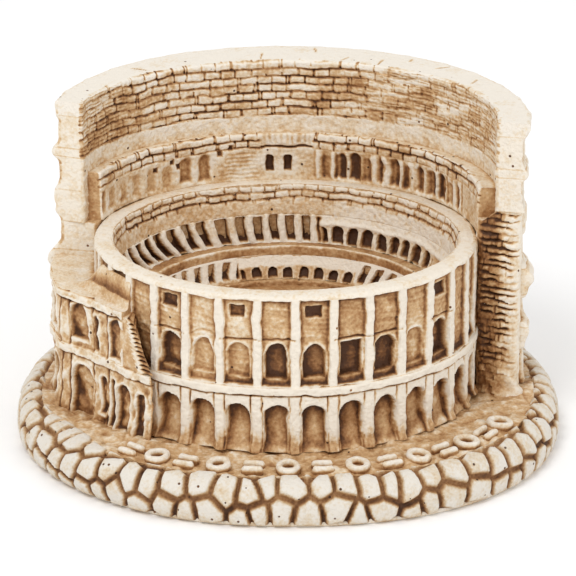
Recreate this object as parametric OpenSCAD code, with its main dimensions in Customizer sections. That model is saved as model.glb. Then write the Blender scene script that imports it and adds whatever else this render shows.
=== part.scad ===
// Desk-top souvenir of a ruined oval amphitheatre: cobbled oval base, two-storey
// front arcade, stepped arena bowl, and the tall outer wall that still stands at
// the back. X runs to the right, Y to the back, Z up, with the origin under the
// middle of the base. Angles around the ovals start at the front and grow to the right.

/* [Base] */
// Half the width of the oval base
base_half_w = 49.1; // [48:0.1:51]
// Half the depth of the oval base
base_half_d = 43.5; // [42.5:0.1:45]
// Squareness of the base outline, 2 is a true ellipse
base_power = 2.2; // [2:0.05:2.4]
// Height of the smooth foot under the cobbles
lip_h = 1; // [0.8:0.1:1.6]
// Height of the forecourt above the table
ground_z = 8; // [7:0.5:9]
// Radial thickness of the cobbled kerb
kerb_t = 4.4; // [3.5:0.1:4.6]
// Number of cobbles in each kerb course
kerb_stones = 56; // [44:4:64]

/* [Front arcade] */
// Half width of the arcade ring, outside
ring_half_w = 34.1; // [33.8:0.1:34.4]
// Half depth of the arcade ring, outside
ring_half_d = 29.2; // [29:0.1:29.3]
// Height of the string course between the two storeys
string_z = 18.5; // [18:0.5:19]
// Height of the rim of the arcade
rim_z = 37; // [36.5:0.5:38]
// Width of a lower arch
lower_arch_w = 3.4; // [2.6:0.1:3.8]
// Width of an upper arch
upper_arch_w = 2.8; // [2:0.1:3.2]

/* [Outer wall] */
// Half width of the outer wall
wall_half_w = 42; // [41.6:0.1:42.4]
// Half depth of the outer wall
wall_half_d = 37.6; // [37:0.1:38]
// Height of the whole model
wall_top_z = 59.7; // [58:0.1:62]
// Height of the upper gallery floor
gallery_z = 46; // [45:0.5:47]

/* [Arena] */
// Height of the arena floor
arena_z = 19.8; // [19.5:0.1:20.5]
// Height of the terrace above the radial walls
terrace_z = 26.3; // [25.8:0.1:26.8]

/* [Hidden] */

$fn = 32;
step = 3.75;             // angle between the points of every oval
bay = 11.25;             // angle from one arch to the next
arch_phase = -bay / 4;   // angle of the arch nearest the front
eps = 0.01;

// Ovals as [half width, half depth, centre x]
ring_out = [ring_half_w, ring_half_d, -0.4];
ring_in = [30.7, 25.7, -0.4];
wall_out = [wall_half_w, wall_half_d, -0.3];
wall_in = [36.9, 29.4, -0.2];
gallery_in = [34, 28.2, -0.5];
seats_in = [29.7, 24.8, -0.4];
fins_in = [27.6, 23.6, -0.4];
terrace_in = [25, 21.7, -0.2];
podium_out = [22.6, 19.4, -0.3];
podium_in = [21.5, 18.5, -0.3];

// The outer wall stands from the right end, round the back, to the left end
right_end = 86.25;
right_end_high = 82.5;
left_end = 258.75;
gallery_right_end = 90;
gallery_left_end = 255;

panel_low_z = string_z + 1.7;
panel_top_z = rim_z - 0.8;
cornice_2_z = 26.4;
storey_3_z = 31.5;
cornice_3_z = rim_z;
storey_4_z = 43;
cornice_4_z = 49.3;
attic_z = 51;
coping_z = 57;
fin_top_z = 31.5;
arena_wall_z = 24.6;
podium_z = 20.7;

// The ruined left front: corners of its face, from the outer wall to its broken end
left_face = [[-42.3, 0], [-40.4, -8.6], [-34.4, -13.6], [-28.6, -20]];
left_tip = [-23.8, -24.4];
left_tip_angle = 315;
left_high_angle = 307.5;
left_top_z = 30.5;

function on_oval(e, t) = [e[2] + e[0] * sin(t), -e[1] * cos(t)];
function oval_arc(e, t0, t1) = [for (t = [t0:step:t1 + eps]) on_oval(e, t)];
function reversed(p) = [for (i = [len(p) - 1:-1:0]) p[i]];
function grown(e, d) = [e[0] + d, e[1] + d, e[2]];
function signed_power(v, p) = sign(v) * pow(abs(v), p);
function on_base(t, inset) = [
    (base_half_w - inset) * signed_power(sin(t), 2 / base_power),
    -(base_half_d - inset) * signed_power(cos(t), 2 / base_power)
];
function facing(e, t) = atan2(e[1] * sin(t), e[0] * cos(t));

module slab(points, z0, z1) {
    translate([0, 0, z0]) linear_extrude(z1 - z0) polygon(points);
}

module base_slab(inset, z0, z1) {
    slab([for (t = [0:step:360 - step]) on_base(t, inset)], z0, z1);
}

module disc(e, z0, z1) {
    slab(oval_arc(e, 0, 360 - step), z0, z1);
}

module oval_ring(outside, inside, z0, z1) {
    difference() {
        disc(outside, z0, z1);
        disc(inside, z0 - 1, z1 + 1);
    }
}

module oval_sector(outside, inside, t0, t1, z0, z1) {
    slab(concat(oval_arc(outside, t0, t1), reversed(oval_arc(inside, t0, t1))), z0, z1);
}

// Moves its children to an oval's face, with their back to the wall
module on_face(e, t, z) {
    p = on_oval(e, t);
    translate([p[0], p[1], z]) rotate([0, 0, facing(e, t)]) children();
}

module arch_void(w, h, depth) {
    translate([0, depth, 0]) rotate([90, 0, 0]) linear_extrude(depth + 2) {
        translate([-w / 2, 0]) square([w, h - w / 2]);
        translate([0, h - w / 2]) circle(d = w);
    }
}

module panel_void(w, h, depth) {
    translate([-w / 2, -2, 0]) cube([w, depth + 2, h]);
}

module arcade_of_voids(e, t0, t1, z, w, h, depth) {
    for (t = [t0:bay:t1]) on_face(e, t, z) arch_void(w, h, depth);
}

module kerb_course(z0, z1, inset, shift) {
    turn = 360 / kerb_stones;
    for (k = [0:kerb_stones - 1]) {
        a = (k + shift) * turn + 0.35;
        b = (k + shift + 1) * turn - 0.35;
        slab([on_base(a, inset), on_base((a + b) / 2, inset), on_base(b, inset),
              on_base(b, kerb_t), on_base((a + b) / 2, kerb_t), on_base(a, kerb_t)], z0, z1);
    }
}

module base_lip() {
    color("ivory") base_slab(0.8, 0, lip_h);
}

module base_core() {
    color("tan") base_slab(kerb_t + 0.2, lip_h, ground_z - 1);
}

module kerb_lower_course() {
    color("linen") kerb_course(lip_h, lip_h + 3.4, 0, 0);
}

module kerb_upper_course() {
    color("ivory") kerb_course(lip_h + 3.4, ground_z - 0.6, 1, 0.5);
}

module forecourt() {
    color("burlywood") base_slab(kerb_t + 0.2, ground_z - 1, ground_z);
}

// Plain raised rings and pairs of bars on the paving, in front of the arcade
module forecourt_relief() {
    color("wheat") for (k = [-5:8]) {
        t = 8 * k - 1.2 * sign(k);
        at = on_base(t, 7.6);
        translate([at[0], at[1], ground_z]) rotate([0, 0, t])
            if (k % 2 == 0) difference() {
                cylinder(r = 2.1, h = 0.8);
                translate([0, 0, -1]) cylinder(r = 1, h = 3);
            } else for (y = [-1.7, 0.5]) translate([-1.9, y, 0]) cube([3.8, 1.2, 0.8]);
    }
}

module lower_arcade() {
    color("antiquewhite") difference() {
        oval_ring(ring_out, ring_in, ground_z, string_z);
        arcade_of_voids(ring_out, arch_phase - 3 * bay, arch_phase + 7 * bay, ground_z, lower_arch_w,
            string_z - ground_z - 1.8, 1.8);
    }
}

module string_course() {
    color("ivory") oval_ring(ring_out, ring_in, string_z, panel_low_z);
}

module upper_arcade() {
    arch_h = 6.4;
    color("antiquewhite") difference() {
        oval_ring(ring_out, ring_in, panel_low_z, panel_top_z);
        for (k = [-4:7]) on_face(ring_out, arch_phase + k * bay, panel_low_z + 0.6)
            panel_void(4.4, panel_top_z - panel_low_z - 1, 0.7);
        arcade_of_voids(ring_out, arch_phase - 3 * bay, arch_phase + 7 * bay, panel_low_z + 1.3,
            upper_arch_w, arch_h, 1.9);
        for (k = [-3:2:7]) on_face(ring_out, arch_phase + k * bay, panel_top_z - 3.6)
            panel_void(2.4, 2, 1.6);
    }
}

module arcade_rim() {
    color("ivory") oval_ring(ring_out, ring_in, panel_top_z, rim_z);
}

module substructure() {
    color("tan") disc(ring_in, ground_z, arena_z - 1);
}

module arena_floor() {
    color("peru") disc(podium_in, arena_z - 1, arena_z);
}

module podium_kerb() {
    color("tan") oval_ring(podium_out, podium_in, arena_z - 1, podium_z);
}

module arena_wall() {
    color("antiquewhite") difference() {
        oval_ring(terrace_in, podium_out, arena_z - 1, arena_wall_z);
        for (k = [12:20]) on_face(podium_out, k * bay, podium_z)
            translate([-0.8, -2.2, 0]) cube([1.6, 3.4, 2]);
    }
}

module arena_terrace() {
    color("peru") oval_ring(fins_in, terrace_in, arena_z - 1, terrace_z);
}

// Slots between the radial walls under the lower seats
module radial_wall_gallery() {
    color("antiquewhite") difference() {
        oval_ring(ring_in, fins_in, arena_z - 1, fin_top_z);
        for (k = [11:0.75:24]) on_face(fins_in, k * bay, terrace_z)
            translate([-0.8, -2.2, 0]) cube([1.6, 3.9, fin_top_z - terrace_z - 0.8]);
    }
}

module seating_courses() {
    color("linen") oval_ring(ring_in, seats_in, fin_top_z, rim_z);
}

module niche_gallery() {
    color("antiquewhite") difference() {
        oval_sector(wall_in, gallery_in, gallery_right_end, gallery_left_end, rim_z, gallery_z);
        for (k = [9:22]) on_face(gallery_in, k * bay, rim_z + 1) rotate([0, 0, 180])
            arch_void(2.4, 5, 0.5);
    }
}

module outer_storey_1() {
    color("antiquewhite") difference() {
        oval_sector(wall_out, ring_out, right_end, left_end, ground_z, string_z);
        arcade_of_voids(wall_out, arch_phase + 9 * bay, arch_phase + 23 * bay, ground_z, 4, 8.4, 1.8);
    }
}

module outer_cornice_1() {
    color("ivory") oval_sector(grown(wall_out, 0.7), ring_out, right_end, left_end, string_z, panel_low_z);
}

module outer_storey_2() {
    color("antiquewhite") difference() {
        oval_sector(wall_out, ring_out, right_end, left_end, panel_low_z, cornice_2_z);
        arcade_of_voids(wall_out, arch_phase + 9 * bay, arch_phase + 23 * bay, panel_low_z + 0.4, 3.6,
            5.4, 1.6);
    }
}

module outer_cornice_2() {
    color("ivory") oval_sector(grown(wall_out, 0.7), ring_out, right_end, left_end, cornice_2_z, storey_3_z);
}

module outer_storey_3() {
    color("antiquewhite") difference() {
        oval_sector(wall_out, ring_out, right_end, left_end, storey_3_z, cornice_3_z);
        arcade_of_voids(wall_out, arch_phase + 9 * bay, arch_phase + 23 * bay, storey_3_z + 0.3, 3.4,
            4.8, 1.6);
    }
}

module outer_cornice_3() {
    color("ivory") oval_sector(grown(wall_out, 0.5), wall_in, right_end, left_end, cornice_3_z, storey_4_z);
}

module outer_storey_4() {
    color("antiquewhite") difference() {
        oval_sector(wall_out, wall_in, right_end_high, left_end, storey_4_z, cornice_4_z);
        arcade_of_voids(wall_out, arch_phase + 9 * bay, arch_phase + 23 * bay, storey_4_z + 0.5, 3.2,
            5, 1.6);
    }
}

module outer_cornice_4() {
    color("ivory") oval_sector(grown(wall_out, 0.7), wall_in, right_end_high, left_end, cornice_4_z, attic_z);
}

module attic_storey() {
    color("antiquewhite") difference() {
        oval_sector(wall_out, wall_in, right_end_high, left_end, attic_z, coping_z);
        for (k = [9:2:23]) on_face(wall_out, arch_phase + k * bay, attic_z + 2) panel_void(1.8, 2, 1.2);
    }
}

module wall_coping() {
    color("ivory") oval_sector(grown(wall_out, 0.6), wall_in, right_end_high, left_end, coping_z, wall_top_z);
}

// Toothed brick courses of the cut end, standing in front of the outer wall
module right_brick_pier() {
    courses = 14;
    h = (storey_4_z - ground_z) / courses;
    back = on_oval(wall_out, right_end)[1];
    color("linen") for (k = [0:courses - 1]) {
        tooth = (k % 2) * 0.5;
        translate([37.9 + tooth, -4.6 + tooth / 2, ground_z + k * h])
            cube([3.5 - tooth, back + 4.6 - tooth / 2, h]);
    }
}

module left_plan(tip, angle, z0, z1) {
    slab(concat([on_oval(wall_out, left_end)], left_face, tip,
        reversed(oval_arc(ring_out, left_end, angle))), z0, z1);
}

module left_arch(a, b, z, w, h) {
    middle = (a + b) / 2;
    along = b - a;
    translate([middle[0], middle[1], z]) rotate([0, 0, atan2(along[1], along[0])]) arch_void(w, h, 1.6);
}

module left_lower_storey() {
    color("antiquewhite") difference() {
        left_plan([left_tip], left_tip_angle, ground_z, string_z);
        for (k = [0:len(left_face) - 2]) left_arch(left_face[k], left_face[k + 1], ground_z, 3.4, 8.6);
        left_arch(left_face[len(left_face) - 1], left_tip, ground_z, 2.6, 7.6);
    }
}

module left_string_course() {
    color("ivory") left_plan([left_tip], left_tip_angle, string_z, panel_low_z);
}

module left_upper_storey() {
    color("antiquewhite") difference() {
        left_plan([], left_high_angle, panel_low_z, left_top_z - 1);
        for (k = [0:len(left_face) - 2])
            left_arch(left_face[k], left_face[k + 1], panel_low_z + 0.8, 3.2, 7);
    }
}

module left_terrace() {
    color("ivory") left_plan([], left_high_angle, left_top_z - 1, left_top_z);
}

// Broken end of the left front, each brick shorter than the one below it
module left_broken_edge() {
    courses = 7;
    h = (left_top_z - 1 - panel_low_z) / courses;
    root = left_face[len(left_face) - 1];
    color("linen") for (k = [0:courses - 1]) {
        reach = 0.95 - 0.1 * k - 0.06 * (k % 2);
        slab([root, root + (left_tip - root) * reach, on_oval(ring_out, left_high_angle + step),
              on_oval(ring_out, left_high_angle)], panel_low_z + k * h, panel_low_z + (k + 1) * h);
    }
}

base_lip();
base_core();
kerb_lower_course();
kerb_upper_course();
forecourt();
forecourt_relief();
lower_arcade();
string_course();
upper_arcade();
arcade_rim();
substructure();
arena_floor();
podium_kerb();
arena_wall();
arena_terrace();
radial_wall_gallery();
seating_courses();
niche_gallery();
outer_storey_1();
outer_cornice_1();
outer_storey_2();
outer_cornice_2();
outer_storey_3();
outer_cornice_3();
outer_storey_4();
outer_cornice_4();
attic_storey();
wall_coping();
right_brick_pier();
left_lower_storey();
left_string_course();
left_upper_storey();
left_terrace();
left_broken_edge();
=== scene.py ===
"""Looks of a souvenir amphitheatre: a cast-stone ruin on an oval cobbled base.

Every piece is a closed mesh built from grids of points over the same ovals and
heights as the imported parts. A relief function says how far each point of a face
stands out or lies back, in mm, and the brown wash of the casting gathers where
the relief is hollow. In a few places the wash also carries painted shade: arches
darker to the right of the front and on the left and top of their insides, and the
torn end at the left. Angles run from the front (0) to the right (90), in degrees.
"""

import math

import bpy
import numpy as np
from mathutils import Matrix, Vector


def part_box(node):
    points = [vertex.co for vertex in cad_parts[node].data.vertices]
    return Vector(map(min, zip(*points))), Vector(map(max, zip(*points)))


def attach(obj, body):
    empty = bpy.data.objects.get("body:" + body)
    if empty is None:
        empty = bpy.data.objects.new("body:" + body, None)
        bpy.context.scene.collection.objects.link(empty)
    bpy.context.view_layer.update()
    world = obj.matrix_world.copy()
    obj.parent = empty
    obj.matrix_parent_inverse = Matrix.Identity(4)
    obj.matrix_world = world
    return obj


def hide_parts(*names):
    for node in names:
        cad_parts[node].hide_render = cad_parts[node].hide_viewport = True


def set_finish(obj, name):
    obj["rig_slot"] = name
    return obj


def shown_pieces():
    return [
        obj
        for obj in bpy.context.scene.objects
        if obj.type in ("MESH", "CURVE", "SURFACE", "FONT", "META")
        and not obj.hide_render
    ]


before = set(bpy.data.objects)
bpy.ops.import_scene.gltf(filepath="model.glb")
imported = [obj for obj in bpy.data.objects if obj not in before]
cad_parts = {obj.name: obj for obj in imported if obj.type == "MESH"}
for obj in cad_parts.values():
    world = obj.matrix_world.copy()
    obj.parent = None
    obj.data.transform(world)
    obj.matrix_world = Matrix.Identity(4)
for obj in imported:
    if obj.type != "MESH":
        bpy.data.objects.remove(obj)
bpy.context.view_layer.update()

MM = 0.001


# ---------------------------------------------------------------- places, from the frame

def low_of(node):
    return np.array(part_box(node)[0]) / MM


def high_of(node):
    return np.array(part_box(node)[1]) / MM


def oval_of(node, centre_x=None):
    """Half width, half depth and centre of the oval that a node fills, in mm."""
    low, high = low_of(node), high_of(node)
    centre = (low[0] + high[0]) / 2 if centre_x is None else centre_x
    return np.array([high[0] - centre, high[1], centre])


BAY = 11.25                 # degrees from one arch to the next
BAY_START = -BAY / 4        # the arch nearest the front
RIGHT_END = 86.25           # the outer wall's cut ends
RIGHT_END_HIGH = 82.5
LEFT_END = 258.75
GALLERY_ENDS = (90.0, 255.0)

# Heights in mm: the levels of the bowl, from the arena up, and then those of the walls
ARENA, PODIUM, LEDGE, FINS, SEATS = (
    round(high_of(node)[2], 3) for node in ("arena_floor", "podium_kerb", "arena_wall",
                                            "arena_terrace", "radial_wall_gallery"))
GROUND = low_of("lower_arcade")[2]
STRING = low_of("string_course")[2]
PANELS = low_of("upper_arcade")[2]
RIM = high_of("arcade_rim")[2]
GALLERY = high_of("niche_gallery")[2]
COURSES = low_of("outer_cornice_4")[2]
TOP = high_of("wall_coping")[2]

# Ovals as (half width, half depth, centre across)
RING_OUT = oval_of("arcade_rim")
RING_IN = oval_of("radial_wall_gallery")
SEATS_IN = RING_IN - (1.0, 0.9, 0.0)
FINS_IN = oval_of("arena_terrace")
TERRACE_IN = oval_of("arena_wall")
PODIUM_OUT = oval_of("podium_kerb")
PODIUM_IN = oval_of("arena_floor")
WALL_OUT = oval_of("outer_storey_1", -0.3)
WALL_IN = oval_of("niche_gallery", -0.2)
GALLERY_IN = WALL_IN - (2.9, 1.2, 0.3)
BASE_HALF = high_of("kerb_lower_course")[:2]
BASE_POWER = 2.2            # 2 is an oval, and more is squarer

# Steps of the grids in mm
RING_STEP = 0.21
BOWL_STEP = 0.23
WALL_STEP = 0.26
BACK_STEP = 0.30            # on the wall's far side


def grown(oval, by):
    return oval + np.array([by, by, 0.0])


# ---------------------------------------------------------------- numbers over grids

def smooth(low, high, x):
    """0 up to low, 1 from high, and an even curve between."""
    f = np.clip((x - low) / (high - low), 0, 1)
    return f * f * (3 - 2 * f)


def hump(x, middle, half):
    """A rounded ridge of height 1 and half width half."""
    return np.exp(-((x - middle) / half) ** 2)


def between(x, low, high, soft=0.4):
    return smooth(low - soft, low + soft, x) * (1 - smooth(high - soft, high + soft, x))


def dice(*keys):
    """A repeatable random number from 0 to 1 for each set of whole numbers."""
    h = np.zeros(np.broadcast(*keys).shape, np.int64) + 40503
    for prime, key in zip((374761393, 668265263, 1274126177, 2246822519), keys):
        h = (h ^ (np.asarray(key).astype(np.int64) * prime)) & 0xFFFFFFFF
        h = ((h ^ (h >> 15)) * 2654435761) & 0xFFFFFFFF
    h = h ^ (h >> 13)
    return (h & 0xFFFF) / 65535.0


def grain(points, size, seed):
    """Smooth random values from -1 to 1 with lumps of about size mm."""
    q = points / size
    cell = np.floor(q).astype(np.int64)
    f = q - cell
    f = f * f * (3 - 2 * f)
    total = 0.0
    for i in (0, 1):
        for j in (0, 1):
            for k in (0, 1):
                corner = dice(cell[..., 0] + i, cell[..., 1] + j, cell[..., 2] + k, seed)
                weight = (f[..., 0] if i else 1 - f[..., 0])
                weight = weight * (f[..., 1] if j else 1 - f[..., 1])
                weight = weight * (f[..., 2] if k else 1 - f[..., 2])
                total = total + corner * weight
    return total * 2 - 1


def wobble(x, size, seed):
    """The same along a single line."""
    return grain(np.stack([x, x * 0 + 0.5, x * 0 + 0.5], -1), size, seed)


def blurred(h, reach_u, reach_v, wrap):
    """Box blur of a grid, twice each way, with reaches in samples."""
    for axis, reach, mode in ((0, reach_u, "wrap" if wrap else "edge"), (1, reach_v, "edge")):
        reach = min(int(reach), h.shape[axis] // 2 - 1)
        if reach < 1:
            continue
        for _ in range(2):
            pad = [(0, 0), (0, 0)]
            pad[axis] = (reach + 1, reach)
            total = np.cumsum(np.pad(h, pad, mode=mode), axis=axis)
            n = h.shape[axis]
            span = 2 * reach + 1
            upper = np.take(total, range(span, span + n), axis=axis)
            h = (upper - np.take(total, range(n), axis=axis)) / span
    return h


def hollow(h, pitch_u, pitch_v, wrap=False):
    """How deep each point lies below what is round it, from 0 to about 1."""
    found = 0.0
    # how far round to look and how deep is deep, in mm, and the share of the sum
    for reach, depth, share in ((0.35, 0.2, 0.22), (0.9, 0.5, 0.25), (2.2, 1.2, 0.17)):
        below = blurred(h, reach / pitch_u, reach / pitch_v, wrap) - h
        found = found + share * np.clip(below / depth, -0.4, 1.1)
    return found / (1 + 0.9 * np.clip(found, 0, None))


# ---------------------------------------------------------------- ovals

TABLE_T = np.linspace(-200, 420, 6201)


def arc(oval, t):
    """Distance along an oval from its front, in mm."""
    r = np.radians(TABLE_T)
    speed = np.hypot(oval[0] * np.cos(r), oval[1] * np.sin(r)) * math.radians(TABLE_T[1] - TABLE_T[0])
    s = np.concatenate([[0], np.cumsum((speed[1:] + speed[:-1]) / 2)])
    s = s - np.interp(0, TABLE_T, s)
    return np.interp(t, TABLE_T, s)


def angles(oval, *stretches):
    """Angles along an oval at even steps in mm: stretches of (from, to, step)."""
    parts = []
    for t0, t1, pitch in stretches:
        s0, s1 = arc(oval, t0), arc(oval, t1)
        s = np.linspace(s0, s1, max(2, int(round((s1 - s0) / pitch)) + 1))
        fine = np.linspace(t0, t1, 800)
        parts.append(np.interp(s, arc(oval, fine), fine)[:-1])
    return np.concatenate(parts)


def bay_angle(k):
    """Where bay k has its middle."""
    return BAY_START + k * BAY


def bay_frame(oval, t):
    """Each point's bay number, distance from the bay's middle, and half width of the bay."""
    k = np.round((t - BAY_START) / BAY)
    x = arc(oval, t) - arc(oval, bay_angle(k))
    half = (arc(oval, bay_angle(k + 0.5)) - arc(oval, bay_angle(k - 0.5))) / 2
    return k, x, half


def on_base(t, inset):
    """Points on the base's squarish oval outline, or inset mm in from it."""
    r = np.radians(t)
    x = np.sign(np.sin(r)) * np.abs(np.sin(r)) ** (2 / BASE_POWER) * (BASE_HALF[0] - inset)
    y = -np.sign(np.cos(r)) * np.abs(np.cos(r)) ** (2 / BASE_POWER) * (BASE_HALF[1] - inset)
    return x, y


def rounded(z0, z1, pitch, low_r=0.0, high_r=0.0):
    """Heights up a face, and how far each lies back where its edges are rounded."""
    turn = np.radians(np.linspace(0, 90, 6))
    middle = np.linspace(z0 + low_r, z1 - high_r, max(3, int(round((z1 - z0) / pitch))))
    z, back = [middle], [middle * 0]
    if low_r:
        z.insert(0, z0 + low_r * (1 - np.sin(turn[::-1][:-1])))
        back.insert(0, low_r * (1 - np.cos(turn[::-1][:-1])))
    if high_r:
        z.append(z1 - high_r * (1 - np.sin(turn[1:])))
        back.append(high_r * (1 - np.cos(turn[1:])))
    return np.concatenate(z), np.concatenate(back)


# ---------------------------------------------------------------- meshes

def quads(grid, wrap=False, flip=False):
    if wrap:
        grid = np.concatenate([grid, grid[:1]])
    a, b, c, d = grid[:-1, :-1], grid[1:, :-1], grid[1:, 1:], grid[:-1, 1:]
    order = (a, d, c, b) if flip else (a, b, c, d)
    return np.stack([g.ravel() for g in order], -1)


def make(name, points, wash, faces, tris=None, sharp=50):
    """A mesh object in metres from points in mm, with its wash stored on each point."""
    mesh = bpy.data.meshes.new(name)
    tris = np.zeros((0, 3), int) if tris is None else tris
    mesh.vertices.add(len(points))
    mesh.vertices.foreach_set("co", (points * MM).astype(np.float32).ravel())
    mesh.loops.add(faces.size + tris.size)
    mesh.loops.foreach_set("vertex_index", np.concatenate([faces.ravel(), tris.ravel()]).astype(np.int32))
    mesh.polygons.add(len(faces) + len(tris))
    starts = np.concatenate([np.arange(len(faces)) * 4, faces.size + np.arange(len(tris)) * 3])
    mesh.polygons.foreach_set("loop_start", starts.astype(np.int32))
    mesh.update(calc_edges=True)
    mesh.validate()
    stored = mesh.attributes.new("wash", "FLOAT", "POINT")
    stored.data.foreach_set("value", np.asarray(wash, np.float32))
    mesh.polygons.foreach_set("use_smooth", np.ones(len(mesh.polygons), bool))
    mesh.set_sharp_from_angle(angle=math.radians(sharp))
    piece = bpy.data.objects.new(name, mesh)
    bpy.context.scene.collection.objects.link(piece)
    return piece


def hand_over(piece, slot, *nodes):
    """The piece rides on the body, stands for these CAD nodes, and takes this finish."""
    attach(piece, "root")
    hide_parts(*nodes)
    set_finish(piece, slot)


def block(name, outer, inner, across=8, wrap=False, lid=None, end_wash=0.0, base_wash=0.3):
    """A closed solid between an outer and an inner gridded face (points, wash).
    lid takes the top's points and their share of the way across, and gives how far
    each rises and its wash."""
    (po, wo), (pi, wi) = outer, inner
    share = np.linspace(0, 1, across + 1)[1:-1]

    def bridge(a, b):
        return a[:, None] * (1 - share[None, :, None]) + b[:, None] * share[None, :, None]

    top = bridge(po[:, -1], pi[:, -1])
    bottom = bridge(po[:, 0], pi[:, 0])
    top_wash = wo[:, -1:] * (1 - share) + wi[:, -1:] * share
    if lid is not None:
        rise, stain = lid(top, share[None, :] + 0 * top[..., 0])
        top[..., 2] += rise
        top_wash = stain
    parts = [po, pi, top, bottom]
    washes = [wo, wi, top_wash, bottom[..., 0] * 0 + base_wash]
    index, start = [], 0
    for p in parts:
        index.append(start + np.arange(p.shape[0] * p.shape[1]).reshape(p.shape[:2]))
        start += p.shape[0] * p.shape[1]
    io, ii, it, ib = index
    top_grid = np.concatenate([io[:, -1:], it, ii[:, -1:]], 1)
    low_grid = np.concatenate([io[:, :1], ib, ii[:, :1]], 1)
    faces = [quads(io, wrap), quads(ii, wrap, flip=True), quads(top_grid, wrap),
             quads(low_grid, wrap, flip=True)]
    if not wrap:
        for row, flip in ((0, True), (-1, False)):
            cap = bridge(po[row, 1:-1], pi[row, 1:-1])
            ic = start + np.arange(cap.shape[0] * cap.shape[1]).reshape(cap.shape[:2])
            start += ic.size
            parts.append(cap)
            stain = end_wash(cap) if callable(end_wash) else end_wash
            washes.append(stain + 0.10 * grain(cap, 1.6, 31) + 0.08 * grain(cap, 0.6, 32))
            middle = np.concatenate([io[row, 1:-1, None], ic, ii[row, 1:-1, None]], 1)
            whole = np.concatenate([low_grid[row][None], middle, top_grid[row][None]])
            faces.append(quads(whole, flip=not flip))
    points = np.concatenate([p.reshape(-1, 3) for p in parts])
    wash = np.concatenate([w.ravel() for w in washes])
    return make(name, points, wash, np.concatenate(faces))


def turned(name, loop, wash):
    """A closed solid from rings of points: its first and last columns are the poles."""
    nu, nv = wash.shape
    inner = loop[:, 1:-1]
    index = np.arange(nu * (nv - 2)).reshape(nu, nv - 2)
    poles = np.array([loop[:, 0].mean(0), loop[:, -1].mean(0)])
    a, b = index.size, index.size + 1
    after = np.roll(index, -1, axis=0)
    low = np.stack([index[:, 0] * 0 + a, after[:, 0], index[:, 0]], -1)
    high = np.stack([index[:, -1] * 0 + b, index[:, -1], after[:, -1]], -1)
    points = np.concatenate([inner.reshape(-1, 3), poles])
    stain = np.concatenate([wash[:, 1:-1].ravel(), [wash[0, 0], wash[0, -1]]])
    return make(name, points, stain, quads(index, wrap=True), np.concatenate([low, high]))


def dented(height, stain, mask, depth, dark):
    """A height and its stain, sunk by depth and darkened by dark where mask is 1."""
    return height - depth * mask, stain + dark * mask


def strayed(points):
    """How far a hand-cut outline strays along and up a face, in mm."""
    return [0.24 * grain(points, 2.7, seed) + 0.12 * grain(points, 1.0, seed + 1) for seed in (5, 7)]


def patchy(points):
    """Where the wash took well and where it was wiped off, about 1."""
    return 1.0 + 0.45 * grain(points, 2.8, 11) + 0.25 * grain(points, 1.1, 12)


def lumpy(points):
    """The casting's uneven skin, in mm."""
    return 0.12 * grain(points, 3.6, 1) + 0.09 * grain(points, 1.2, 2) + 0.07 * grain(points, 0.55, 3)


def face(t, levels, low, high, out, relief, wrap=False, end_r=0.0):
    """A gridded face leaning from oval low to oval high. out is 1 on an outside face
    and -1 on one that looks into the bowl. Returns points and wash."""
    z, back = levels
    share = (z - z[0]) / (z[-1] - z[0])
    a, b, c = (low[i] * (1 - share) + high[i] * share for i in range(3))
    T, Z = np.meshgrid(t, z, indexing="ij")
    r = np.radians(T)
    sin, cos = np.sin(r), np.cos(r)
    flat = np.stack([c + a * sin, -b * cos, Z], -1)
    per_degree = np.hypot(a * cos, b * sin) * math.radians(1)
    astray = strayed(flat)
    height, stain = relief(T + astray[0] / per_degree, Z + astray[1])
    lumps = lumpy(flat)
    s = arc((low + high) / 2, t)
    if end_r:
        edge = np.minimum(s - s[0], s[-1] - s)
        back = back[None] + end_r * (1 - np.sqrt(1 - np.clip(1 - edge / end_r, 0, 1) ** 2))[:, None]
    norm = np.stack([sin / a, -cos / b, 0 * Z], -1)
    norm /= np.linalg.norm(norm, axis=-1, keepdims=True)
    points = flat + norm * (out * (height + lumps - back))[..., None]
    sunk = hollow(height + lumps, np.median(np.diff(s)), np.median(np.diff(z)), wrap)
    wash = stain + sunk * patchy(flat)
    if out < 0:                 # the wash is bolder inside the bowl
        wash = 0.22 + 1.3 * (wash - 0.22)
    return points, wash


def path_face(path, z, out, relief, end_r=0.0):
    """The same for a face over any line on the ground: z has a row of heights for each
    of its points, and relief is given the distance along the line instead of an angle."""
    step = np.gradient(path, axis=0)
    step /= np.linalg.norm(step, axis=1, keepdims=True)
    norm = np.stack([step[:, 1], -step[:, 0]], -1)
    s = np.concatenate([[0], np.cumsum(np.linalg.norm(np.diff(path, axis=0), axis=1))])
    S = s[:, None] + 0 * z
    flat = np.concatenate([path[:, None] + 0 * z[..., None], z[..., None]], -1)
    astray = strayed(flat)
    height, stain = relief(S + astray[0], z + astray[1])
    lumps = lumpy(flat)
    if end_r:
        edge = np.clip(1 - np.minimum(s, s[-1] - s) / end_r, 0, 1)
        lumps = lumps - end_r * (1 - np.sqrt(1 - edge ** 2))[:, None]
    points = flat.copy()
    points[..., :2] += norm[:, None] * (out * (height + lumps))[..., None]
    pitch = s[-1] / (len(s) - 1), np.median(np.diff(z, axis=1))
    return points, stain + hollow(height + lumps, *pitch) * patchy(flat)


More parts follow.
